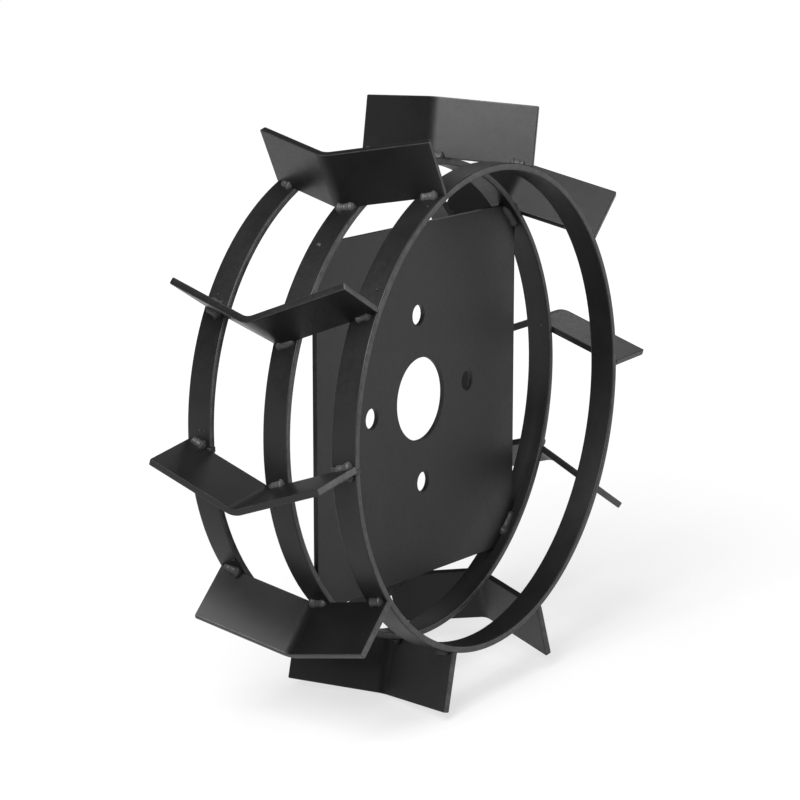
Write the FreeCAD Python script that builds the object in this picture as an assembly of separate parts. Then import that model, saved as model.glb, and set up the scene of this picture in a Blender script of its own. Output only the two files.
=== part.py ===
import FreeCAD, Part
import math
import os

from FreeCAD import Placement, Rotation, Vector

# Cage wheel with chevron lugs for a small walk-behind tractor, welded from flat steel bar.
#
# Three rolled hoops of one diameter are tied together by ten bent lugs that are welded on
# edge across them. A square plate, trimmed to fit inside the middle hoop, is the hub.
#
# Lengths are in millimetres and angles in degrees. The wheel turns about Y. The origin is
# the centre of the hub bore, halfway through the hub plate, and the wheel's front is towards
# -Y. Angles round the wheel run from +X towards +Z. A lug is drawn in a frame of its own:
# X away from the wheel's centre, Y along the axle and Z round the rim.

# Hoops, rolled from flat bar
HOOP_RADIUS = 140.0
BAR_WIDTH = 16.0
BAR_THICKNESS = 4.0
FRONT_HOOP_Y = -45.0
MIDDLE_HOOP_Y = 0.0
REAR_HOOP_Y = 51.5

# Lugs, each a length of flat bar bent once
LUG_HEIGHT = 34.0
LUG_THICKNESS = 4.0
LUG_FRONT_Y = -53.0
LUG_REAR_Y = 59.0
BEND_Y = 4.0
BEND_ANGLE = 20.5
BEND_RADIUS = 12.0
APEX_LEAD = 12.5
FIRST_LUG_ANGLE = 6.5

# The lugs were set by hand: how far each one is off its even place round the rim, how far it
# is skewed across the hoops, and how far it leans round the rim, in degrees
LUG_SETTINGS = (
    (-1.5, -0.5, -3.0),
    (-1.5, -0.5, 2.5),
    (0.5, 4.0, 2.0),
    (1.5, -0.5, 2.0),
    (2.0, 3.5, -1.5),
    (-0.5, -1.0, 2.5),
    (-1.5, -3.0, 2.0),
    (-2.5, 0.5, -0.5),
    (1.0, 1.5, -5.0),
    (3.5, 3.5, -3.5),
)

# Hub plate
PLATE_SIDE = 206.0
PLATE_LOWER_EDGE_FALL = 6.0
PLATE_THICKNESS = 3.0
BORE_RADIUS = 24.5
BOLT_CIRCLE = 100.0
BOLT_COUNT = 4
BOLT_HOLE_RADIUS = 6.0
BOLT_PATTERN_TURN = 3.0

# Welds
WELD_LEG = 3.5
WELD_INSET = 2.0
PLATE_WELD_LEG = 3.0
PLATE_WELD_LENGTH = 18.0
PLATE_CORNERS = 4
FIRST_CORNER_ANGLE = 45.0
SEAM_GAP = 2.5
SEAM_CROWN = 0.8
SEAM_CROWN_WIDTH = 3.2
SEAM_LUG = 5

# Worked out from the sizes above
HOOP_INNER_RADIUS = HOOP_RADIUS - BAR_THICKNESS
LUG_PITCH = 360.0 / len(LUG_SETTINGS)
BEND_SLOPE = math.tan(math.radians(BEND_ANGLE))
LUG_MIDDLE_Y = (LUG_FRONT_Y + LUG_REAR_Y) / 2.0
HOOP_PLACES = {
    "front_hoop": FRONT_HOOP_Y,
    "middle_hoop": MIDDLE_HOOP_Y,
    "rear_hoop": REAR_HOOP_Y,
}

# How far a cutting tool reaches past what it cuts
OVERCUT = 10.0

ORIGIN = Vector(0, 0, 0)
RADIAL = Vector(1, 0, 0)
AXLE = Vector(0, 1, 0)


def turned(shape, angle):
    """Copy of a shape drawn at angle 0, carried round the wheel to an angle."""
    return shape.transformed(Placement(ORIGIN, Rotation(AXLE, -angle)).toMatrix(), True)


def disc(radius, middle_y, width):
    """Disc about the axle, centred on a plane across it."""
    return Part.makeCylinder(radius, width, Vector(0, middle_y - width / 2.0, 0), AXLE)


def full_hoop(middle_y):
    """Hoop before its closing seam is opened."""
    hole = disc(HOOP_INNER_RADIUS, middle_y, BAR_WIDTH + OVERCUT)
    return disc(HOOP_RADIUS, middle_y, BAR_WIDTH).cut(hole)


def lead_at(y):
    """How far round the rim a lug's middle line is at a place along the axle."""
    return APEX_LEAD - BEND_SLOPE * abs(y - BEND_Y)


def seam_angle(middle_y):
    """Angle of a hoop's closing seam, which one of the lugs covers."""
    setting, _skew, _lean = LUG_SETTINGS[SEAM_LUG]
    lug_angle = FIRST_LUG_ANGLE + SEAM_LUG * LUG_PITCH + setting
    return lug_angle + math.degrees(math.atan2(lead_at(middle_y), HOOP_RADIUS))


def seam_slot(middle_y):
    """Gap between the two ends of a hoop's bar, as a block across the hoop."""
    depth = BAR_THICKNESS + 2.0 * OVERCUT
    width = BAR_WIDTH + OVERCUT
    corner = Vector(HOOP_INNER_RADIUS - OVERCUT, middle_y - width / 2.0, -SEAM_GAP / 2.0)
    return turned(Part.makeBox(depth, width, SEAM_GAP, corner), seam_angle(middle_y))


def make_hoop(middle_y):
    """Bar rolled into a ring whose two ends nearly meet."""
    return full_hoop(middle_y).cut(seam_slot(middle_y))


def make_seam(middle_y):
    """Weld that closes a hoop: flush outside, where a lug covers it, and crowned inside."""
    ring = full_hoop(middle_y)
    plug = ring.common(seam_slot(middle_y))
    crown_radius = ((SEAM_CROWN_WIDTH / 2.0) ** 2 + SEAM_CROWN**2) / (2.0 * SEAM_CROWN)
    centre_radius = HOOP_INNER_RADIUS + crown_radius - SEAM_CROWN
    start = Vector(centre_radius, middle_y - BAR_WIDTH / 2.0, 0)
    crown = turned(Part.makeCylinder(crown_radius, BAR_WIDTH, start, AXLE), seam_angle(middle_y))
    inside = disc(HOOP_INNER_RADIUS, middle_y, BAR_WIDTH)
    return plug.fuse(crown.common(inside)).removeSplitter()


def chevron_edges(offset):
    """Straight, arc and straight along a lug's foot, at a distance off its middle line."""
    sine = math.sin(math.radians(BEND_ANGLE))
    cosine = math.cos(math.radians(BEND_ANGLE))
    radius = BEND_RADIUS + offset
    centre_z = APEX_LEAD - BEND_RADIUS / cosine

    def arm_point(end_y):
        side = math.copysign(1.0, end_y - BEND_Y)
        y = end_y + side * offset * sine
        return Vector(HOOP_RADIUS, y, lead_at(end_y) + offset * cosine)

    def bend_point(side):
        y = BEND_Y + side * radius * sine
        return Vector(HOOP_RADIUS, y, centre_z + radius * cosine)

    crest = Vector(HOOP_RADIUS, BEND_Y, centre_z + radius)
    return [
        Part.makeLine(arm_point(LUG_FRONT_Y), bend_point(-1.0)),
        Part.Arc(bend_point(-1.0), crest, bend_point(1.0)).toShape(),
        Part.makeLine(bend_point(1.0), arm_point(LUG_REAR_Y)),
    ]


def chevron_blade(below, above, lean):
    """Bent bar from below the hoops' outer faces to above them, before it is skewed."""
    convex = chevron_edges(LUG_THICKNESS / 2.0)
    concave = chevron_edges(-LUG_THICKNESS / 2.0)
    ends = [
        Part.makeLine(convex[0].Vertexes[0].Point, concave[0].Vertexes[0].Point),
        Part.makeLine(convex[-1].Vertexes[-1].Point, concave[-1].Vertexes[-1].Point),
    ]
    foot = Part.Face(Part.Wire(Part.__sortEdges__(convex + concave + ends)))
    rise = Vector(1, 0, math.tan(math.radians(lean)))
    foot.translate(rise * -below)
    return foot.extrude(rise * (below + above))


def skewed(shape, skew):
    """Copy of a shape in the lug's frame, turned about the lug's own upright."""
    pivot = Vector(0, LUG_MIDDLE_Y, 0)
    placement = Placement(ORIGIN, Rotation(RADIAL, skew), pivot)
    return shape.transformed(placement.toMatrix(), True)


def make_lug(angle, skew, lean):
    """Chevron lug, standing on the hoops' outer faces."""
    return turned(skewed(chevron_blade(0.0, LUG_HEIGHT, lean), skew), angle)


def weld_rod(side):
    """Round rod along the corner where one face of a lug meets the hoops."""
    edges = chevron_edges(side * LUG_THICKNESS / 2.0)
    start = edges[0].Vertexes[0].Point
    along = edges[0].Vertexes[-1].Point - start
    profile = Part.Wire(Part.makeCircle(WELD_LEG, start, along))
    return Part.Wire(edges).makePipeShell([profile], True, False)


def make_lug_welds(angle, skew, lean):
    """Six fillet welds that hold one lug: one along each face at each hoop."""
    blade = skewed(chevron_blade(OVERCUT, OVERCUT, lean), skew)
    rods = [skewed(weld_rod(side), skew) for side in (1.0, -1.0)]
    welds = []
    for middle_y in HOOP_PLACES.values():
        band = disc(HOOP_RADIUS + OVERCUT, middle_y, BAR_WIDTH - 2.0 * WELD_INSET)
        hoop = full_hoop(middle_y)
        for rod in rods:
            welds.append(turned(rod.common(band).cut(blade).cut(hoop), angle))
    return Part.makeCompound(welds)


def make_hub_plate():
    """Square plate trimmed to the middle hoop, with its bore and bolt holes."""
    half = PLATE_SIDE / 2.0
    front_y = -PLATE_THICKNESS / 2.0
    corners = [
        Vector(-half, front_y, half),
        Vector(half, front_y, half),
        Vector(half, front_y, -half - PLATE_LOWER_EDGE_FALL),
        Vector(-half, front_y, -half),
    ]
    blank = Part.Face(Part.makePolygon(corners + corners[:1])).extrude(AXLE * PLATE_THICKNESS)
    plate = blank.common(disc(HOOP_INNER_RADIUS, MIDDLE_HOOP_Y, PLATE_THICKNESS))
    plate = plate.cut(disc(BORE_RADIUS, MIDDLE_HOOP_Y, PLATE_THICKNESS + OVERCUT))
    start = Vector(BOLT_CIRCLE / 2.0, -PLATE_THICKNESS, 0)
    hole = Part.makeCylinder(BOLT_HOLE_RADIUS, 2.0 * PLATE_THICKNESS, start, AXLE)
    for index in range(BOLT_COUNT):
        plate = plate.cut(turned(hole, BOLT_PATTERN_TURN + index * 360.0 / BOLT_COUNT))
    return plate


def make_hub_plate_welds():
    """Fillet welds that hold the plate's four corners in the middle hoop, front and rear."""
    hoop = full_hoop(MIDDLE_HOOP_Y)
    plate = disc(HOOP_INNER_RADIUS, MIDDLE_HOOP_Y, PLATE_THICKNESS)
    low_corner = Vector(0, -BAR_WIDTH / 2.0, -PLATE_WELD_LENGTH / 2.0)
    stretch = Part.makeBox(HOOP_RADIUS, BAR_WIDTH, PLATE_WELD_LENGTH, low_corner)
    welds = []
    for face_y in (-PLATE_THICKNESS / 2.0, PLATE_THICKNESS / 2.0):
        ring = Part.makeTorus(HOOP_INNER_RADIUS, PLATE_WELD_LEG, Vector(0, face_y, 0), AXLE)
        bead = ring.common(stretch).cut(hoop).cut(plate)
        for corner in range(PLATE_CORNERS):
            angle = FIRST_CORNER_ANGLE + corner * 360.0 / PLATE_CORNERS
            welds.append(turned(bead, angle))
    return Part.makeCompound(welds)


def export(shape, node):
    """Write one node's solids to its own file."""
    shape.exportStep(f"parts/{node}.step")


def main():
    """Build every piece of the wheel and write it out."""
    os.makedirs("parts", exist_ok=True)
    for node, middle_y in HOOP_PLACES.items():
        export(make_hoop(middle_y), node)
    export(Part.makeCompound([make_seam(y) for y in HOOP_PLACES.values()]), "hoop_seams")
    export(make_hub_plate(), "hub_plate")
    export(make_hub_plate_welds(), "hub_plate_welds")
    for index, (setting, skew, lean) in enumerate(LUG_SETTINGS):
        angle = FIRST_LUG_ANGLE + index * LUG_PITCH + setting
        node = f"lug_{index + 1:02d}"
        export(make_lug(angle, skew, lean), node)
        export(make_lug_welds(angle, skew, lean), f"{node}_welds")


main()
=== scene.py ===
"""Dresses a welded cage wheel: rolled hoops, bent chevron lugs, hub plate and weld beads."""

import logging
import math
import random
from collections.abc import Callable, Iterable
from dataclasses import dataclass, field
from enum import Enum
from typing import NamedTuple

import bmesh
import bpy
from mathutils import Matrix, Vector, noise


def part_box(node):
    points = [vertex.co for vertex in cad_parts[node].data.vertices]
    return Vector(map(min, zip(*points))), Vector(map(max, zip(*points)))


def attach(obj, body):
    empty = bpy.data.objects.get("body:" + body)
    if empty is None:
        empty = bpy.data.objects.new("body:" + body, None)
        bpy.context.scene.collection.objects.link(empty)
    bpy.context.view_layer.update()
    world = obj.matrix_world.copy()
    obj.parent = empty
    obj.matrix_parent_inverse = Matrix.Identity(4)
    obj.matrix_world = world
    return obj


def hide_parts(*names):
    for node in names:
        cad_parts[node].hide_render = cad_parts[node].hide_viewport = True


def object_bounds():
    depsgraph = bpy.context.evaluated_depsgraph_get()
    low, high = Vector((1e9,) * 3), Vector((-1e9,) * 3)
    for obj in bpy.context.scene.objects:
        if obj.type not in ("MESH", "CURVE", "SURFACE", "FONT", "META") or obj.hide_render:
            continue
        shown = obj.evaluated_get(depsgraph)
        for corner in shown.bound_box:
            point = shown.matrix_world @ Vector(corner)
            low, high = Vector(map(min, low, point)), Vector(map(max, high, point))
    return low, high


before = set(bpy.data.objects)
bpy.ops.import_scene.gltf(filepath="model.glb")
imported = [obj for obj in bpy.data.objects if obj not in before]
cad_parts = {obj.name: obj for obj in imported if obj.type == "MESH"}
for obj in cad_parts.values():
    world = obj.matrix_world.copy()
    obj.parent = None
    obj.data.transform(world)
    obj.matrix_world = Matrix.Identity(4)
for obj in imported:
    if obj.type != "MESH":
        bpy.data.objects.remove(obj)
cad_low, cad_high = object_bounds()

log = logging.getLogger("cage_wheel")

MM = 0.001
FULL_TURN = 360.0
SEED_SPAN = (0.0, 50.0)
SHARP_EDGE = math.radians(30.0)
SMOOTH_LIMIT = math.radians(40.0)

# A piece is drawn at angle 0: RADIAL leads away from the wheel's centre, AXLE along the axle
# from front to rear and RIMWARD round the rim
RADIAL = Vector((1.0, 0.0, 0.0))
AXLE = Vector((0.0, 1.0, 0.0))
RIMWARD = Vector((0.0, 0.0, 1.0))

Colour = tuple[float, float, float]
Span = tuple[float, float]


class Slot(Enum):
    """Material slots of the record."""

    HOOP = "painted_hoop"
    LUG = "painted_lug"
    PLATE = "painted_plate"
    WELD = "painted_weld"


class LugFace(Enum):
    """The two broad faces of a lug, by which way round the rim they look."""

    CONVEX = 1.0
    CONCAVE = -1.0


class LugSetting(NamedTuple):
    """How one lug was set by hand, in degrees off its even place, skewed and leaning."""

    place: float
    skew: float
    lean: float


# ---------------------------------------------------------------- finishes


class Shader:
    """Adds and joins the nodes of one material or world."""

    def __init__(self, owner: bpy.types.ID) -> None:
        """Start an empty node tree.

        Args:
            owner: Material or world that the nodes belong to.
        """
        owner.use_nodes = True
        self.tree = owner.node_tree
        self.tree.nodes.clear()

    def add(self, kind: str, **values: object) -> bpy.types.Node:
        """Add one node.

        Args:
            kind: The node's type, without its ShaderNode prefix.
            **values: Properties of the node to set.

        Returns:
            The new node.
        """
        node = self.tree.nodes.new(f"ShaderNode{kind}")
        for name, value in values.items():
            setattr(node, name, value)
        return node

    def join(self, source: bpy.types.NodeSocket, target: bpy.types.NodeSocket) -> None:
        """Join two sockets."""
        self.tree.links.new(source, target)

    def math(self, operation: str, first: object, second: object) -> bpy.types.NodeSocket:
        """Add a clamped Math node.

        Args:
            operation: The node's operation.
            first: Socket or number for the first input.
            second: Socket or number for the second input.

        Returns:
            The node's output socket.
        """
        node = self.add("Math", operation=operation, use_clamp=True)
        for socket, value in zip(node.inputs, (first, second)):
            if isinstance(value, bpy.types.NodeSocket):
                self.join(value, socket)
            else:
                socket.default_value = value
        return node.outputs[0]

    def noise(
        self, place: bpy.types.NodeSocket, scale: float, detail: float, rough: float = 0.55
    ) -> bpy.types.NodeSocket:
        """Add a noise pattern.

        Args:
            place: Coordinates that the pattern follows.
            scale: Cells per metre.
            detail: How many finer layers the pattern has.
            rough: How strong the finer layers are.

        Returns:
            The pattern's factor socket.
        """
        node = self.add("TexNoise")
        node.inputs["Scale"].default_value = scale
        node.inputs["Detail"].default_value = detail
        node.inputs["Roughness"].default_value = rough
        self.join(place, node.inputs["Vector"])
        return node.outputs[0]

    def remap(
        self, value: bpy.types.NodeSocket, low: float, high: float, to_low: float, to_high: float
    ) -> bpy.types.NodeSocket:
        """Add a clamped Map Range node.

        Args:
            value: Socket to remap.
            low: Value that becomes to_low.
            high: Value that becomes to_high.
            to_low: Lowest result.
            to_high: Highest result.

        Returns:
            The remapped socket.
        """
        node = self.add("MapRange")
        self.join(value, node.inputs["Value"])
        for name, number in zip(
            ("From Min", "From Max", "To Min", "To Max"), (low, high, to_low, to_high)
        ):
            node.inputs[name].default_value = number
        return node.outputs[0]

    def blend(
        self, factor: bpy.types.NodeSocket, first: object, second: object
    ) -> bpy.types.NodeSocket:
        """Add a colour mix.

        Args:
            factor: Share of the second colour.
            first: Socket or colour at factor 0.
            second: Socket or colour at factor 1.

        Returns:
            The mixed colour's socket.
        """
        node = self.add("Mix", data_type="RGBA")
        self.join(factor, node.inputs[0])
        for socket, value in zip((node.inputs[6], node.inputs[7]), (first, second)):
            if isinstance(value, bpy.types.NodeSocket):
                self.join(value, socket)
            else:
                socket.default_value = (*value, 1.0)
        return node.outputs[2]

    def length(self, vector: bpy.types.NodeSocket) -> bpy.types.NodeSocket:
        """Measure a vector."""
        node = self.add("VectorMath", operation="LENGTH")
        self.join(vector, node.inputs[0])
        return node.outputs["Value"]

    def bump(
        self,
        height: bpy.types.NodeSocket,
        distance: float,
        under: bpy.types.NodeSocket | None = None,
    ) -> bpy.types.NodeSocket:
        """Add a bump layer.

        Args:
            height: Height pattern.
            distance: Height in metres of the pattern's full range.
            under: Normal of the bump layer below this one.

        Returns:
            The bumped normal's socket.
        """
        node = self.add("Bump")
        node.inputs["Strength"].default_value = 1.0
        node.inputs["Distance"].default_value = distance
        self.join(height, node.inputs["Height"])
        if under is not None:
            self.join(under, node.inputs["Normal"])
        return node.outputs[0]


@dataclass(frozen=True)
class BlackPaint:
    """Satin black paint on mill steel, mottled, faintly rippled and worn thin along its edges, with
    a painted highlight on the faces that look along the axle.

    A scale is in cells per metre, and a span is the part of a pattern's range that is used.
    """

    name: str
    dark: Colour
    light: Colour
    # colour of paint worn thin at the edges, also the colour of the painted highlight on faces that
    # look along the axle
    rubbed_and_highlight: Colour
    roughness: Span
    specular: float
    peel_height: float
    ripple_scale: float
    ripple_height: float
    edge_width: float
    edge_wear: float
    # strength of the painted highlight on faces that look along the axle, the hoops' rims and the
    # lugs' ends
    end_highlight: float = 0.0
    blotch_scale: float = 28.0
    blotch_colour_span: Span = (0.34, 0.66)
    blotch_shine_span: Span = (0.3, 0.7)
    speck_scale: float = 420.0
    speck_span: Span = (0.4, 0.75)
    speck_roughness: float = 0.07
    peel_scale: float = 900.0
    rub_and_highlight_roughness: float = 0.12
    edge_span: Span = (0.995, 0.9)
    # how far a face must look along the axle to get the painted highlight
    end_highlight_span: Span = (0.66, 0.90)
    patch_scale: float = 150.0
    patch_span: Span = (0.38, 0.62)
    patch_least: float = 0.45

    def material(self) -> bpy.types.Material:
        """Make the paint's material.

        Returns:
            The new material.
        """
        made = bpy.data.materials.new(self.name)
        shader = Shader(made)
        place = shader.add("TexCoord").outputs["Object"]
        blotches = shader.noise(place, self.blotch_scale, detail=4.0)
        specks = shader.noise(place, self.speck_scale, detail=3.0)
        peel = shader.noise(place, self.peel_scale, detail=2.0)
        ripple = shader.noise(place, self.ripple_scale, detail=3.0, rough=0.45)

        mottle = shader.remap(blotches, *self.blotch_colour_span, 0.0, 1.0)
        colour = shader.blend(mottle, self.dark, self.light)
        # edge wear plus a painted highlight on faces that look along the axle, both lightening the
        # colour
        rub_and_highlight = self._rub_and_highlight_mask(shader, place)
        colour = shader.blend(rub_and_highlight, colour, self.rubbed_and_highlight)
        shine = shader.remap(blotches, *self.blotch_shine_span, *self.roughness)
        dulled = shader.remap(specks, *self.speck_span, 0.0, self.speck_roughness)
        shine = shader.math("ADD", shine, dulled)
        dulled = shader.remap(rub_and_highlight, 0.0, 1.0, 0.0, self.rub_and_highlight_roughness)
        shine = shader.math("ADD", shine, dulled)
        normal = shader.bump(ripple, self.ripple_height)
        normal = shader.bump(peel, self.peel_height, normal)

        surface = shader.add("BsdfPrincipled")
        surface.inputs["Specular IOR Level"].default_value = self.specular
        shader.join(colour, surface.inputs["Base Color"])
        shader.join(shine, surface.inputs["Roughness"])
        shader.join(normal, surface.inputs["Normal"])
        shader.join(surface.outputs[0], shader.add("OutputMaterial").inputs["Surface"])
        return made

    def _rub_and_highlight_mask(self, shader: Shader, place: bpy.types.NodeSocket) -> bpy.types.NodeSocket:
        """Find where the paint is worn thin along edges, and which faces that look along the axle
        get a painted highlight.

        Args:
            shader: The material's node builder.
            place: Object coordinates.

        Returns:
            Socket that is 1 where the edge wear or the painted highlight is strongest.
        """
        rounded = shader.add("Bevel", samples=6)
        rounded.inputs["Radius"].default_value = self.edge_width
        normal = shader.add("NewGeometry").outputs["Normal"]
        facing = shader.add("VectorMath", operation="DOT_PRODUCT")
        shader.join(rounded.outputs[0], facing.inputs[0])
        shader.join(normal, facing.inputs[1])
        edge = shader.remap(facing.outputs["Value"], *self.edge_span, 0.0, self.edge_wear)
        # painted highlight: faces that look along the axle, the hoops' rims and the lugs' ends, are
        # lightened by which way they face
        parts = shader.add("SeparateXYZ")
        shader.join(normal, parts.inputs[0])
        axial = shader.math("ABSOLUTE", parts.outputs["Y"], 0.0)
        end = shader.remap(axial, *self.end_highlight_span, 0.0, self.end_highlight)
        patches = shader.noise(place, self.patch_scale, detail=5.0, rough=0.7)
        patches = shader.remap(patches, *self.patch_span, self.patch_least, 1.0)
        return shader.math("MULTIPLY", shader.math("MAXIMUM", edge, end), patches)


HOOP_PAINT = BlackPaint(
    name="hoop_paint",
    dark=(0.0042, 0.0042, 0.0044),
    light=(0.0062, 0.0062, 0.0064),
    rubbed_and_highlight=(0.078, 0.078, 0.080),
    roughness=(0.36, 0.43),
    specular=0.30,
    peel_height=0.02 * MM,
    ripple_scale=45.0,
    ripple_height=0.12 * MM,
    edge_width=0.9 * MM,
    edge_wear=0.5,
    # full painted highlight on the hoops' rims
    end_highlight=1.0,
)
LUG_PAINT = BlackPaint(
    name="lug_paint",
    dark=(0.0042, 0.0042, 0.0044),
    light=(0.0060, 0.0060, 0.0062),
    rubbed_and_highlight=(0.078, 0.078, 0.080),
    roughness=(0.33, 0.39),
    specular=0.30,
    peel_height=0.02 * MM,
    ripple_scale=32.0,
    ripple_height=0.12 * MM,
    edge_width=0.8 * MM,
    edge_wear=0.6,
    # full painted highlight on the lugs' ends
    end_highlight=1.0,
)
PLATE_PAINT = BlackPaint(
    name="plate_paint",
    dark=(0.0060, 0.0060, 0.0062),
    light=(0.0085, 0.0085, 0.0088),
    rubbed_and_highlight=(0.070, 0.070, 0.072),
    roughness=(0.38, 0.46),
    specular=0.30,
    peel_height=0.02 * MM,
    ripple_scale=24.0,
    ripple_height=0.10 * MM,
    edge_width=0.7 * MM,
    edge_wear=0.5,
)
WELD_PAINT = BlackPaint(
    name="weld_paint",
    dark=(0.026, 0.026, 0.0265),
    light=(0.042, 0.042, 0.0425),
    rubbed_and_highlight=(0.080, 0.079, 0.078),
    roughness=(0.42, 0.54),
    specular=0.34,
    peel_height=0.03 * MM,
    ripple_scale=260.0,
    ripple_height=0.15 * MM,
    edge_width=0.5 * MM,
    edge_wear=0.4,
)


# ---------------------------------------------------------------- mesh helpers


def around_wheel(degrees: float) -> Matrix:
    """Turn that carries something at angle 0 round the wheel, from +X towards +Z."""
    return Matrix.Rotation(-math.radians(degrees), 4, "Y")


def section(mesh: bmesh.types.BMesh, middle: Vector, across: Vector, up: Vector) -> list:
    """Draw a rectangle to be swept into a bar.

    Args:
        mesh: Mesh to draw in.
        middle: Middle of the rectangle.
        across: Its full width, as a vector.
        up: Its full height, as a vector.

    Returns:
        The rectangle's face, edges and corners.
    """
    place = Matrix.Identity(4)
    for column, vector in enumerate((across, up, across.cross(up).normalized())):
        place.col[column].xyz = vector
    place.translation = middle
    made = bmesh.ops.create_grid(mesh, x_segments=1, y_segments=1, size=0.5, matrix=place)
    face = made["verts"][0].link_faces[0]
    return [face, *face.edges, *face.verts]


def push(mesh: bmesh.types.BMesh, end: Iterable, travel: Vector) -> list:
    """Lengthen a bar from its end.

    Args:
        mesh: Mesh that holds the bar.
        end: Geometry of the end to pull out.
        travel: How far to pull it.

    Returns:
        Geometry of the new end.
    """
    grown = bmesh.ops.extrude_face_region(mesh, geom=list(end))["geom"]
    corners = [item for item in grown if isinstance(item, bmesh.types.BMVert)]
    bmesh.ops.translate(mesh, verts=corners, vec=travel)
    return grown


def soften(mesh: bmesh.types.BMesh, radius: float, segments: int = 2) -> None:
    """Round every sharp edge.

    Args:
        mesh: Mesh to round.
        radius: How far the rounding reaches from each edge.
        segments: Facets across the rounding.
    """
    joined = [edge for edge in mesh.edges if edge.is_manifold]
    edges = [edge for edge in joined if edge.calc_face_angle() > SHARP_EDGE]
    bmesh.ops.bevel(
        mesh,
        geom=edges,
        offset=radius,
        offset_type="OFFSET",
        affect="EDGES",
        segments=segments,
        profile=0.5,
        clamp_overlap=True,
        material=-1,
    )


def as_object(mesh: bmesh.types.BMesh, name: str) -> bpy.types.Object:
    """Close off a mesh and put it in the scene.

    Args:
        mesh: Finished mesh, which is freed.
        name: Name of the object.

    Returns:
        The new object, at the origin.
    """
    bmesh.ops.recalc_face_normals(mesh, faces=mesh.faces[:])
    data = bpy.data.meshes.new(name)
    mesh.to_mesh(data)
    mesh.free()
    data.shade_smooth()
    data.set_sharp_from_angle(angle=SMOOTH_LIMIT)
    made = bpy.data.objects.new(name, data)
    bpy.context.scene.collection.objects.link(made)
    return made


def dress(
    piece: bpy.types.Object, paint: bpy.types.Material, nodes: Iterable[str]
) -> bpy.types.Object:
    """Finish a piece and say which CAD nodes it stands for.

    Args:
        piece: The piece's object.
        paint: Its material.
        nodes: CAD nodes that it replaces.

    Returns:
        The same piece.
    """
    piece.data.materials.append(paint)
    weighting = piece.modifiers.new("flat_faces", "WEIGHTED_NORMAL")
    weighting.keep_sharp = True
    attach(piece, "root")
    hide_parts(*nodes)
    log.info("%s: %d faces, stands for %s", piece.name, len(piece.data.polygons), ", ".join(nodes))
    return piece


# ---------------------------------------------------------------- weld beads


class WeldPoint(NamedTuple):
    """One point along a weld: where it is, which way it runs and which way it faces."""

    place: Vector
    along: Vector
    outward: Vector


@dataclass
class WeldBead:
    """Hand-laid bead with stacked ripples and a fuller end where the arc stopped.

    Places along the bead run from -1 to 1. The arc stopped at the end that stop points to.
    """

    path: Callable[[float], WeldPoint]
    length: float
    radius: float
    seed: float
    stop: float = 1.0
    rings: int = 34
    sides: int = 14
    ripple_pitch: float = 1.3 * MM
    ripple_depth: float = 0.05
    ripple_bow: float = 0.55
    end_bluntness: int = 5
    wander: float = 0.22
    wander_along: float = 2.3
    wander_across: float = 0.6
    stop_swell: float = 0.42
    stop_place: float = 0.72
    stop_width: float = 0.24

    def build(self, mesh: bmesh.types.BMesh) -> None:
        """Add the bead to a mesh as a closed shape.

        Args:
            mesh: Mesh to add to.
        """
        ball = bmesh.ops.create_uvsphere(
            mesh, u_segments=self.sides, v_segments=self.rings, radius=1.0
        )
        for vert in ball["verts"]:
            vert.co = self._placed(vert.co)

    def _placed(self, unit: Vector) -> Vector:
        """Carry a point of the unit ball onto the bead.

        Args:
            unit: Point on the ball, with the bead running along Z.

        Returns:
            The point's place on the bead.
        """
        share = math.asin(max(-1.0, min(1.0, unit.z))) / (math.pi / 2.0)
        flank = math.hypot(unit.x, unit.y)
        side = Vector((unit.x, unit.y)) / flank if flank > 1e-6 else Vector((0.0, 0.0))
        bow = self.ripple_bow * self.radius * (side.x - 1.0) * self.stop * (1.0 - share * share)
        point = self.path(share + 2.0 * bow / self.length)
        swell = math.sqrt(max(0.0, 1.0 - abs(share) ** self.end_bluntness))
        phase = math.pi * share * self.length / (2.0 * self.ripple_pitch)
        swell *= 1.0 + self.ripple_depth * (abs(math.sin(phase)) - 1.0)
        spot = Vector((share * self.wander_along, self.seed, side.x * self.wander_across))
        swell *= 1.0 + self.wander * noise.noise(spot)
        past_stop = (share - self.stop_place * self.stop) / self.stop_width
        swell *= 1.0 + self.stop_swell * math.exp(-(past_stop**2))
        across = point.along.cross(point.outward)
        return point.place + self.radius * swell * (side.x * point.outward + side.y * across)


@dataclass
class Spatter:
    """Small balls of weld metal thrown onto the bars beside a weld."""

    dice: random.Random
    count: int = 3
    smallest: float = 0.3 * MM
    largest: float = 0.55 * MM
    detail: int = 2

    def build(self, mesh: bmesh.types.BMesh, spot: Callable[[random.Random], Vector]) -> None:
        """Add the balls to a mesh.

        Args:
            mesh: Mesh to add to.
            spot: Picks a place on a surface.
        """
        for _ in range(self.count):
            radius = self.dice.uniform(self.smallest, self.largest)
            place = Matrix.Translation(spot(self.dice))
            bmesh.ops.create_icosphere(mesh, subdivisions=self.detail, radius=radius, matrix=place)


# ---------------------------------------------------------------- hoops


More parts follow.
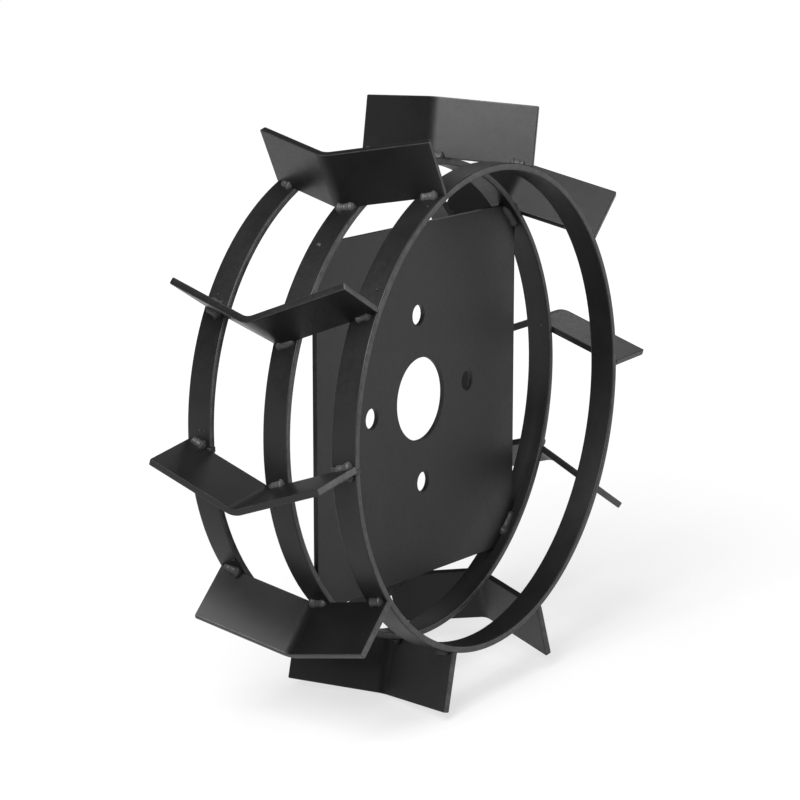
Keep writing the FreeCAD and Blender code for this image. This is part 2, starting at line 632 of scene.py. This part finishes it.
@dataclass
class Hoop:
    """Flat bar rolled into a ring, its two ends held by a weld under one of the lugs."""

    node: str
    paint: bpy.types.Material
    seam_angle: float
    thickness: float = 4.0 * MM
    seam_gap: float = 2.5 * MM
    edge_radius: float = 1.0 * MM
    edge_segments: int = 4
    steps: int = 240

    def __post_init__(self) -> None:
        """Read the ring's radius and place along the axle from the frame."""
        low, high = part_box(self.node)
        self.radius = high.x
        self.width = high.y - low.y
        self.middle_y = (high.y + low.y) / 2.0

    def sweep(
        self, mesh: bmesh.types.BMesh, start: float, angle: float, proud: float, steps: int
    ) -> None:
        """Sweep the bar's section round part of the ring.

        Args:
            mesh: Mesh to add to.
            start: Angle where the bar starts, in degrees.
            angle: How far it goes, in degrees.
            proud: How far the section stands out beyond the bar's own.
            steps: Facets along the bar.
        """
        middle = Vector((self.radius - self.thickness / 2.0, self.middle_y, 0.0))
        across = AXLE * (self.width + 2.0 * proud)
        up = RADIAL * (self.thickness + 2.0 * proud)
        end = section(mesh, middle, across, up)
        corners = [item for item in end if isinstance(item, bmesh.types.BMVert)]
        bmesh.ops.transform(mesh, matrix=around_wheel(start), verts=corners)
        bmesh.ops.spin(
            mesh,
            geom=end,
            cent=(0.0, 0.0, 0.0),
            axis=-AXLE,
            angle=math.radians(angle),
            steps=steps,
            use_merge=False,
            use_duplicate=False,
        )

    def build(self) -> bpy.types.Object:
        """Make the hoop.

        Returns:
            The dressed hoop.
        """
        gap = math.degrees(self.seam_gap / self.radius)
        mesh = bmesh.new()
        self.sweep(mesh, self.seam_angle + gap / 2.0, FULL_TURN - gap, 0.0, self.steps)
        soften(mesh, self.edge_radius, self.edge_segments)
        return dress(as_object(mesh, f"{self.node}_bar"), self.paint, [self.node])


@dataclass
class HoopSeams:
    """Welds that close the hoops, ground flush outside and left crowned inside."""

    hoops: list[Hoop]
    paint: bpy.types.Material
    overlap: float = 0.25 * MM
    shrink: float = 0.02 * MM
    crown_radius: float = 2.1 * MM
    crown_height: float = 0.8 * MM
    first_seed: float = 90.0

    def build(self) -> bpy.types.Object:
        """Make the three seams as one piece.

        Returns:
            The dressed seams.
        """
        mesh = bmesh.new()
        for number, hoop in enumerate(self.hoops):
            filled = math.degrees((hoop.seam_gap + 2.0 * self.overlap) / hoop.radius)
            hoop.sweep(mesh, hoop.seam_angle - filled / 2.0, filled, -self.shrink, 2)

            def crown(share: float, hoop: Hoop = hoop) -> WeldPoint:
                """Follow the seam across the inside of its hoop."""
                turn = around_wheel(hoop.seam_angle)
                x = hoop.radius - hoop.thickness + self.crown_radius - self.crown_height
                y = hoop.middle_y + share * hoop.width / 2.0
                return WeldPoint(turn @ Vector((x, y, 0.0)), AXLE, turn @ -RADIAL)

            seed = self.first_seed + number
            WeldBead(crown, hoop.width, self.crown_radius, seed=seed).build(mesh)
        return dress(as_object(mesh, "hoop_seam_welds"), self.paint, ["hoop_seams"])


# ---------------------------------------------------------------- lugs


@dataclass
class LugShape:
    """Sizes that every lug shares: flat bar, bent once into a shallow chevron."""

    hoop_radius: float
    height: float = 34.0 * MM
    thickness: float = 4.0 * MM
    front_y: float = -53.0 * MM
    rear_y: float = 59.0 * MM
    bend_y: float = 4.0 * MM
    bend_angle: float = math.radians(20.5)
    bend_radius: float = 12.0 * MM
    apex_lead: float = 12.5 * MM
    foot_depth: float = 0.7 * MM
    edge_radius: float = 0.7 * MM
    bend_steps: int = 14

    @property
    def centre_z(self) -> float:
        """How far round the rim the bend's centre is."""
        return self.apex_lead - self.bend_radius / math.cos(self.bend_angle)

    def lead(self, y: float, offset: float) -> float:
        """Find how far round the rim the bar is.

        Args:
            y: Place along the axle.
            offset: Distance off the bar's middle, towards the convex side.

        Returns:
            Distance round the rim from the lug's own angle.
        """
        radius = self.bend_radius + offset
        run = abs(y - self.bend_y)
        if run < radius * math.sin(self.bend_angle):
            return self.centre_z + math.sqrt(radius * radius - run * run)
        return self.centre_z + radius / math.cos(self.bend_angle) - math.tan(self.bend_angle) * run

    def slope(self, y: float, offset: float) -> float:
        """How fast the bar moves round the rim as it goes rearwards."""
        step = 0.05 * MM
        return (self.lead(y + step, offset) - self.lead(y - step, offset)) / (2.0 * step)


@dataclass
class Lug:
    """One chevron lug with the six welds that hold it on the hoops."""

    number: int
    angle: float
    setting: LugSetting
    shape: LugShape
    hoops: list[Hoop]
    paint: bpy.types.Material
    weld_paint: bpy.types.Material
    weld_inset: float = 1.6 * MM
    weld_radius: float = 2.9 * MM
    weld_radius_spread: Span = (0.85, 1.12)
    weld_reach: Span = (0.62, 0.98)
    weld_shift: Span = (-1.0, 0.4)
    weld_sink: float = 0.2 * MM
    spatter_reach: Span = (5.0 * MM, 12.0 * MM)
    first_seed: int = 40

    @property
    def node(self) -> str:
        """Name of the lug's CAD node."""
        return f"lug_{self.number:02d}"

    @property
    def place(self) -> Matrix:
        """Turn that carries the lug's skew and its place round the wheel."""
        pivot = Vector((0.0, (self.shape.front_y + self.shape.rear_y) / 2.0, 0.0))
        skew = Matrix.Rotation(math.radians(self.setting.skew), 4, "X")
        about_pivot = Matrix.Translation(pivot) @ skew @ Matrix.Translation(-pivot)
        return around_wheel(self.angle) @ about_pivot

    @property
    def lean(self) -> Matrix:
        """Slant of the bar round the rim as it rises from the hoops."""
        slant = Matrix.Identity(4)
        rise = math.tan(math.radians(self.setting.lean))
        slant[2][0] = rise
        slant[2][3] = -rise * self.shape.hoop_radius
        return slant

    def build_bar(self) -> bpy.types.Object:
        """Bend the bar and stand it on the hoops.

        Returns:
            The dressed lug.
        """
        shape = self.shape
        bend = shape.bend_angle
        front_run = Vector((0.0, math.cos(bend), math.sin(bend)))
        rear_run = Vector((0.0, math.cos(bend), -math.sin(bend)))
        thick = Vector((0.0, -math.sin(bend), math.cos(bend))) * shape.thickness
        tall = shape.height + shape.foot_depth
        half_bend = shape.bend_radius * math.sin(bend)
        middle_x = shape.hoop_radius - shape.foot_depth + tall / 2.0
        start_z = shape.apex_lead - math.tan(bend) * (shape.bend_y - shape.front_y)
        front_arm = (shape.bend_y - half_bend - shape.front_y) / math.cos(bend)
        rear_arm = (shape.rear_y - shape.bend_y - half_bend) / math.cos(bend)

        mesh = bmesh.new()
        end = section(mesh, Vector((middle_x, shape.front_y, start_z)), thick, RADIAL * tall)
        end = push(mesh, end, front_run * front_arm)
        swept = bmesh.ops.spin(
            mesh,
            geom=end,
            cent=(0.0, shape.bend_y, shape.centre_z),
            axis=-RADIAL,
            angle=2.0 * bend,
            steps=shape.bend_steps,
            use_merge=False,
            use_duplicate=False,
        )
        push(mesh, swept["geom_last"], rear_run * rear_arm)
        soften(mesh, shape.edge_radius)
        bmesh.ops.transform(mesh, matrix=self.place @ self.lean, verts=mesh.verts[:])
        return dress(as_object(mesh, f"{self.node}_bar"), self.paint, [self.node])

    def corner(self, hoop: Hoop, face: LugFace, share: float) -> WeldPoint:
        """Follow the corner between one face of the lug and one hoop.

        Args:
            hoop: The hoop that the lug stands on.
            face: The lug's face.
            share: From -1 at the weld's front end to 1 at its rear end.

        Returns:
            The point on the corner, before the lug is put in place.
        """
        y = hoop.middle_y + share * (hoop.width / 2.0 - self.weld_inset)
        offset = face.value * self.shape.thickness / 2.0
        z = self.shape.lead(y, offset)
        x = math.sqrt(hoop.radius**2 - z * z) + self.weld_sink
        along = Vector((0.0, 1.0, self.shape.slope(y, offset))).normalized()
        away = Vector((0.0, -along.z, along.y)) * face.value
        outward = (RADIAL + away).normalized()
        return WeldPoint(Vector((x, y, z)), along, outward)

    def build_welds(self) -> bpy.types.Object:
        """Lay the six beads and scatter a little spatter beside them.

        Returns:
            The dressed welds.
        """
        dice = random.Random(self.first_seed + self.number)
        mesh = bmesh.new()
        for hoop in self.hoops:
            for face in LugFace:
                reach = dice.uniform(*self.weld_reach)
                middle = dice.uniform(*self.weld_shift) * (1.0 - reach)

                def path(
                    share: float,
                    hoop: Hoop = hoop,
                    face: LugFace = face,
                    reach: float = reach,
                    middle: float = middle,
                ) -> WeldPoint:
                    """Follow this hoop's corner with this face."""
                    return self.corner(hoop, face, middle + reach * share)

                WeldBead(
                    path,
                    length=reach * (hoop.width - 2.0 * self.weld_inset),
                    radius=self.weld_radius * dice.uniform(*self.weld_radius_spread),
                    seed=dice.uniform(*SEED_SPAN),
                    stop=dice.choice((-1.0, -1.0, 1.0)),
                ).build(mesh)

        def beside(dice: random.Random) -> Vector:
            """Pick a place on a hoop close to the lug."""
            hoop = dice.choice(self.hoops)
            face = dice.choice(list(LugFace))
            point = self.corner(hoop, face, dice.uniform(-0.9, 0.9)).place
            z = point.z + face.value * dice.uniform(*self.spatter_reach)
            return Vector((math.sqrt(hoop.radius**2 - z * z), point.y, z))

        Spatter(dice).build(mesh, beside)
        bmesh.ops.transform(mesh, matrix=self.place, verts=mesh.verts[:])
        piece = as_object(mesh, f"{self.node}_weld_beads")
        return dress(piece, self.weld_paint, [f"{self.node}_welds"])


# ---------------------------------------------------------------- hub plate


@dataclass
class HubPlate:
    """Square plate trimmed to the middle hoop, with a bore and four bolt holes."""

    hoop: Hoop
    paint: bpy.types.Material
    weld_paint: bpy.types.Material
    side: float = 206.0 * MM
    lower_fall: float = 6.0 * MM
    bore_radius: float = 24.5 * MM
    bolt_circle: float = 100.0 * MM
    bolt_count: int = 4
    bolt_radius: float = 6.0 * MM
    pattern_turn: float = 3.0
    edge_radius: float = 0.45 * MM
    hole_chamfer: float = 0.35 * MM
    rim_steps: int = 220
    hole_steps: int = 72
    weld_radius: float = 2.9 * MM
    weld_radius_spread: Span = (0.9, 1.15)
    weld_length: float = 18.0 * MM
    weld_seed: int = 7
    corners: tuple[float, ...] = (45.0, 135.0, 225.0, 315.0)

    def __post_init__(self) -> None:
        """Read the plate's thickness from the frame."""
        low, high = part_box("hub_plate")
        self.thickness = high.y - low.y

    def blank(self) -> bmesh.types.BMesh:
        """Cut the plate's outline from a disc that fits the hoop.

        Returns:
            The plate before its holes are cut.
        """
        mesh = bmesh.new()
        across_axle = Matrix.Rotation(math.pi / 2.0, 4, "X")
        front = Matrix.Translation(AXLE * -self.thickness / 2.0) @ across_axle
        radius = self.hoop.radius - self.hoop.thickness
        bmesh.ops.create_circle(
            mesh, cap_ends=True, segments=self.rim_steps, radius=radius, matrix=front
        )
        half = self.side / 2.0
        slope = math.atan2(self.lower_fall, self.side)
        cuts = (
            (RADIAL * half, RADIAL),
            (RADIAL * -half, -RADIAL),
            (RIMWARD * half, RIMWARD),
            (Vector((-half, 0.0, -half)), Vector((-math.sin(slope), 0.0, -math.cos(slope)))),
        )
        for place, outward in cuts:
            everything = mesh.verts[:] + mesh.edges[:] + mesh.faces[:]
            bmesh.ops.bisect_plane(
                mesh, geom=everything, plane_co=place, plane_no=outward, clear_outer=True
            )
        push(mesh, mesh.faces[:] + mesh.edges[:] + mesh.verts[:], AXLE * self.thickness)
        soften(mesh, self.edge_radius)
        return mesh

    def hole_cutter(self, mesh: bmesh.types.BMesh, radius: float, place: Vector) -> None:
        """Add the spool-shaped cutter of one chamfered hole.

        Args:
            mesh: Mesh to add to.
            radius: The hole's radius.
            place: Its middle.
        """
        half = self.thickness / 2.0
        reach = 2.0 * self.hole_chamfer
        profile = (
            (0.0, -half - reach),
            (radius + self.hole_chamfer + reach, -half - reach),
            (radius, -half + self.hole_chamfer),
            (radius, half - self.hole_chamfer),
            (radius + self.hole_chamfer + reach, half + reach),
            (0.0, half + reach),
        )
        points = [mesh.verts.new(place + RADIAL * out + AXLE * along) for out, along in profile]
        edges = [mesh.edges.new(pair) for pair in zip(points, points[1:])]
        bmesh.ops.spin(
            mesh,
            geom=points + edges,
            cent=place,
            axis=AXLE,
            angle=2.0 * math.pi,
            steps=self.hole_steps,
            use_merge=True,
            use_duplicate=False,
        )

    def build(self) -> bpy.types.Object:
        """Make the plate and cut its holes.

        Returns:
            The dressed plate.
        """
        plate = as_object(self.blank(), "hub_plate_sheet")
        mesh = bmesh.new()
        self.hole_cutter(mesh, self.bore_radius, Vector((0.0, 0.0, 0.0)))
        for index in range(self.bolt_count):
            turn = around_wheel(self.pattern_turn + index * FULL_TURN / self.bolt_count)
            self.hole_cutter(mesh, self.bolt_radius, turn @ (RADIAL * self.bolt_circle / 2.0))
        bmesh.ops.remove_doubles(mesh, verts=mesh.verts[:], dist=0.001 * MM)
        cutter = as_object(mesh, "hole_cutter")
        cut = plate.modifiers.new("holes", "BOOLEAN")
        cut.operation = "DIFFERENCE"
        cut.solver = "EXACT"
        cut.object = cutter
        graph = bpy.context.evaluated_depsgraph_get()
        holed = bpy.data.meshes.new_from_object(plate.evaluated_get(graph))
        plate.modifiers.remove(cut)
        plate.data = holed
        holed.name = plate.name
        bpy.data.objects.remove(cutter)
        holed.shade_smooth()
        holed.set_sharp_from_angle(angle=SMOOTH_LIMIT)
        return dress(plate, self.paint, ["hub_plate"])

    def build_welds(self) -> bpy.types.Object:
        """Lay a bead on both faces at each corner.

        Returns:
            The dressed welds.
        """
        dice = random.Random(self.weld_seed)
        mesh = bmesh.new()
        rim = self.hoop.radius - self.hoop.thickness
        spread = math.degrees(self.weld_length / 2.0 / rim)
        for facing in (-1.0, 1.0):
            for corner in self.corners:

                def path(share: float, facing: float = facing, corner: float = corner) -> WeldPoint:
                    """Follow the plate's edge inside the hoop."""
                    turn = around_wheel(corner + share * spread)
                    place = turn @ Vector((rim, facing * self.thickness / 2.0, 0.0))
                    outward = (turn @ -RADIAL + AXLE * facing).normalized()
                    return WeldPoint(place, turn @ RIMWARD, outward)

                WeldBead(
                    path,
                    length=self.weld_length,
                    radius=self.weld_radius * dice.uniform(*self.weld_radius_spread),
                    seed=dice.uniform(*SEED_SPAN),
                    stop=dice.choice((-1.0, 1.0)),
                ).build(mesh)
        piece = as_object(mesh, "hub_plate_beads")
        return dress(piece, self.weld_paint, ["hub_plate_welds"])


# ---------------------------------------------------------------- the wheel


@dataclass
class CageWheel:
    """The whole wheel, from the hoops outwards."""

    first_lug_angle: float = 6.5
    seam_lug: int = 5
    settings: tuple[LugSetting, ...] = (
        LugSetting(-1.5, -0.5, -3.0),
        LugSetting(-1.5, -0.5, 2.5),
        LugSetting(0.5, 4.0, 2.0),
        LugSetting(1.5, -0.5, 2.0),
        LugSetting(2.0, 3.5, -1.5),
        LugSetting(-0.5, -1.0, 2.5),
        LugSetting(-1.5, -3.0, 2.0),
        LugSetting(-2.5, 0.5, -0.5),
        LugSetting(1.0, 1.5, -5.0),
        LugSetting(3.5, 3.5, -3.5),
    )

    def lug_angle(self, index: int) -> float:
        """Angle of a lug round the wheel, in degrees."""
        pitch = FULL_TURN / len(self.settings)
        return self.first_lug_angle + index * pitch + self.settings[index].place

    def build(self) -> list[bpy.types.Object]:
        """Make every piece of the wheel.

        Returns:
            The dressed pieces.
        """
        hoop_paint = HOOP_PAINT.material()
        lug_paint = LUG_PAINT.material()
        weld_paint = WELD_PAINT.material()
        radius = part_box("front_hoop")[1].x
        shape = LugShape(hoop_radius=radius)
        hoops = []
        for node in ("front_hoop", "middle_hoop", "rear_hoop"):
            low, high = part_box(node)
            lead = shape.lead((low.y + high.y) / 2.0, 0.0)
            seam = self.lug_angle(self.seam_lug) + math.degrees(math.atan2(lead, radius))
            hoops.append(Hoop(node, hoop_paint, seam))
        pieces = [hoop.build() for hoop in hoops]
        pieces.append(HoopSeams(hoops, weld_paint).build())
        plate = HubPlate(hoops[1], PLATE_PAINT.material(), weld_paint)
        pieces += [plate.build(), plate.build_welds()]
        for index, setting in enumerate(self.settings):
            angle = self.lug_angle(index)
            lug = Lug(index + 1, angle, setting, shape, hoops, lug_paint, weld_paint)
            pieces += [lug.build_bar(), lug.build_welds()]
        return pieces


# ---------------------------------------------------------------- the studio


def looking_back(azimuth: float, elevation: float) -> Vector:
    """Find the way from the wheel to something that looks at it.

    Args:
        azimuth: Degrees round the wheel, 0 at its front and 90 at its right.
        elevation: Degrees above the horizon.

    Returns:
        The direction, one long.
    """
    turn, rise = math.radians(azimuth), math.radians(elevation)
    return Vector(
        (math.sin(turn) * math.cos(rise), -math.cos(turn) * math.cos(rise), math.sin(rise))
    )


@dataclass(frozen=True)
class Softbox:
    """Rectangular area lamp that looks at the wheel, its angles in degrees."""

    name: str
    azimuth: float
    elevation: float
    distance: float
    width: float
    height: float
    radiance: float

    def build(self, target: Vector) -> bpy.types.Object:
        """Hang the lamp.

        Args:
            target: What it looks at.

        Returns:
            The lamp's object.
        """
        lamp = bpy.data.lights.new(self.name, "AREA")
        lamp.shape = "RECTANGLE"
        lamp.size = self.width
        lamp.size_y = self.height
        lamp.energy = self.radiance * math.pi * self.width * self.height
        made = bpy.data.objects.new(self.name, lamp)
        back = looking_back(self.azimuth, self.elevation)
        made.location = target + back * self.distance
        made.rotation_euler = back.to_track_quat("Z", "Y").to_euler()
        made.visible_camera = False
        bpy.context.scene.collection.objects.link(made)
        return made


@dataclass
class StudioFloor:
    """Plain pale floor.

    Light that falls on it adds to the white that the camera sees, so it is given less white
    of its own near the wheel, where the lamps reach, than far away.
    """

    size: float = 40.0
    albedo: float = 0.24
    near_white: float = 0.68
    far_white: float = 0.97
    whitening: Span = (0.25, 1.2)

    def build(self) -> None:
        """Lay the floor under the wheel's lowest point."""
        mesh = bmesh.new()
        place = Matrix.Translation((0.0, 0.0, cad_low.z))
        bmesh.ops.create_grid(mesh, x_segments=1, y_segments=1, size=self.size / 2.0, matrix=place)
        data = bpy.data.meshes.new("studio_floor")
        mesh.to_mesh(data)
        mesh.free()
        data.materials.append(self._material())
        made = bpy.data.objects.new("studio_floor", data)
        bpy.context.scene.collection.objects.link(made)

    def _material(self) -> bpy.types.Material:
        """Make a matt floor that looks white to the camera, to gloss and to glass.

        Returns:
            The new material.
        """
        made = bpy.data.materials.new("studio_floor")
        shader = Shader(made)
        distance = shader.length(shader.add("TexCoord").outputs["Object"])
        away = shader.remap(distance, *self.whitening, 0.0, 1.0)
        white = shader.blend(away, (self.near_white,) * 3, (self.far_white,) * 3)
        rays = shader.add("LightPath").outputs
        seen = shader.math("MAXIMUM", rays["Is Camera Ray"], rays["Is Glossy Ray"])
        seen = shader.math("MAXIMUM", seen, rays["Is Transmission Ray"])
        glow = shader.add("Emission")
        shader.join(white, glow.inputs["Color"])
        shader.join(seen, glow.inputs["Strength"])
        matt = shader.add("BsdfDiffuse")
        matt.inputs["Color"].default_value = (self.albedo, self.albedo, self.albedo, 1.0)
        both = shader.add("AddShader")
        shader.join(matt.outputs[0], both.inputs[0])
        shader.join(glow.outputs[0], both.inputs[1])
        shader.join(both.outputs[0], shader.add("OutputMaterial").inputs["Surface"])
        return made


@dataclass
class Studio:
    """Pale floor, dim surroundings, softboxes and the camera."""

    camera_azimuth: float = -56.07
    camera_elevation: float = 12.17
    camera_distance: float = 1.4473
    camera_lens: float = 111.59
    camera_target: Vector = field(default_factory=lambda: Vector((0.0, 13.24, -2.34)) * MM)
    world_strength: float = 0.10
    softboxes: tuple[Softbox, ...] = (
        Softbox("key_softbox", -84.0, 42.0, 1.5, 0.8, 0.8, 14.5),
        Softbox("low_key_softbox", -72.0, 24.0, 1.5, 0.6, 0.6, 9.5),
        Softbox("high_softbox", -68.0, 70.0, 1.5, 0.8, 0.8, 5.8),
        Softbox("front_fill_softbox", 42.0, 14.0, 1.5, 1.0, 0.5, 3.6),
        Softbox("right_softbox", 110.0, 35.0, 1.5, 0.7, 0.7, 1.4),
    )

    def build(self) -> None:
        """Set up everything round the wheel."""
        self._camera()
        self._world()
        StudioFloor().build()
        for softbox in self.softboxes:
            softbox.build(Vector((0.0, 0.0, 0.0)))
        bpy.context.scene.view_settings.view_transform = "Standard"

    def _camera(self) -> None:
        """Stand the camera to the left of the wheel's front, a little above it."""
        back = looking_back(self.camera_azimuth, self.camera_elevation)
        data = bpy.data.cameras.new("camera")
        data.lens = self.camera_lens
        made = bpy.data.objects.new("camera", data)
        made.location = self.camera_target + back * self.camera_distance
        made.rotation_euler = back.to_track_quat("Z", "Y").to_euler()
        bpy.context.scene.collection.objects.link(made)
        bpy.context.scene.camera = made

    def _world(self) -> None:
        """Surround the wheel with soft grey light."""
        world = bpy.data.worlds.new("studio")
        bpy.context.scene.world = world
        shader = Shader(world)
        room = shader.add("Background")
        room.inputs["Color"].default_value = (1.0, 1.0, 1.0, 1.0)
        room.inputs["Strength"].default_value = self.world_strength
        shader.join(room.outputs[0], shader.add("OutputWorld").inputs["Surface"])


def main() -> None:
    """Build the studio and the wheel."""
    logging.basicConfig(level=logging.INFO, format="%(message)s")
    Studio().build()
    CageWheel().build()


if __name__ == "__main__":
    main()
